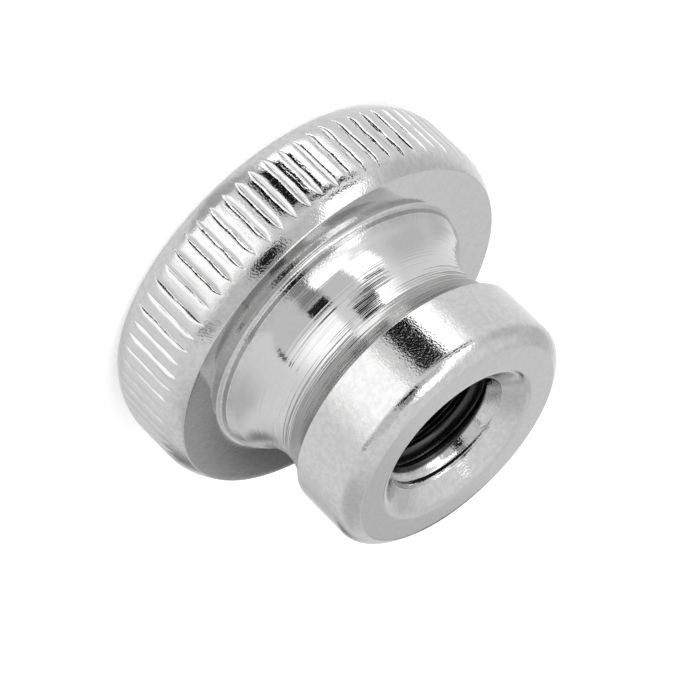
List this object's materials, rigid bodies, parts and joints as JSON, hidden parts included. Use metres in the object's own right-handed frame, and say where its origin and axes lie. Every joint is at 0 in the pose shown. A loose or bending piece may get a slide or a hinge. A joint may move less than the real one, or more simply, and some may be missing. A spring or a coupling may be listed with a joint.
{
  "type": "knurled thumb nut",
  "caption": "High-form thumb nut: a rounded, straight-knurled head, a round undercut neck and a plain collar, with a threaded through bore countersunk at the collar.",
  "frame": {"origin": "centre of the head's flat back face, which the nut stands on", "axes": "+Z along the thread axis, from the head to the collar's end face; X and Y are free, as the nut is a body of revolution"},
  "size_m": [0.024, 0.024, 0.016],
  "materials": {
    "plated_steel": "bright nickel plating over turned and knurled steel, with a light orange peel"
  },
  "bodies": {
    "root": {"thumb_nut": "plated_steel"}
  },
  "joints": []
}
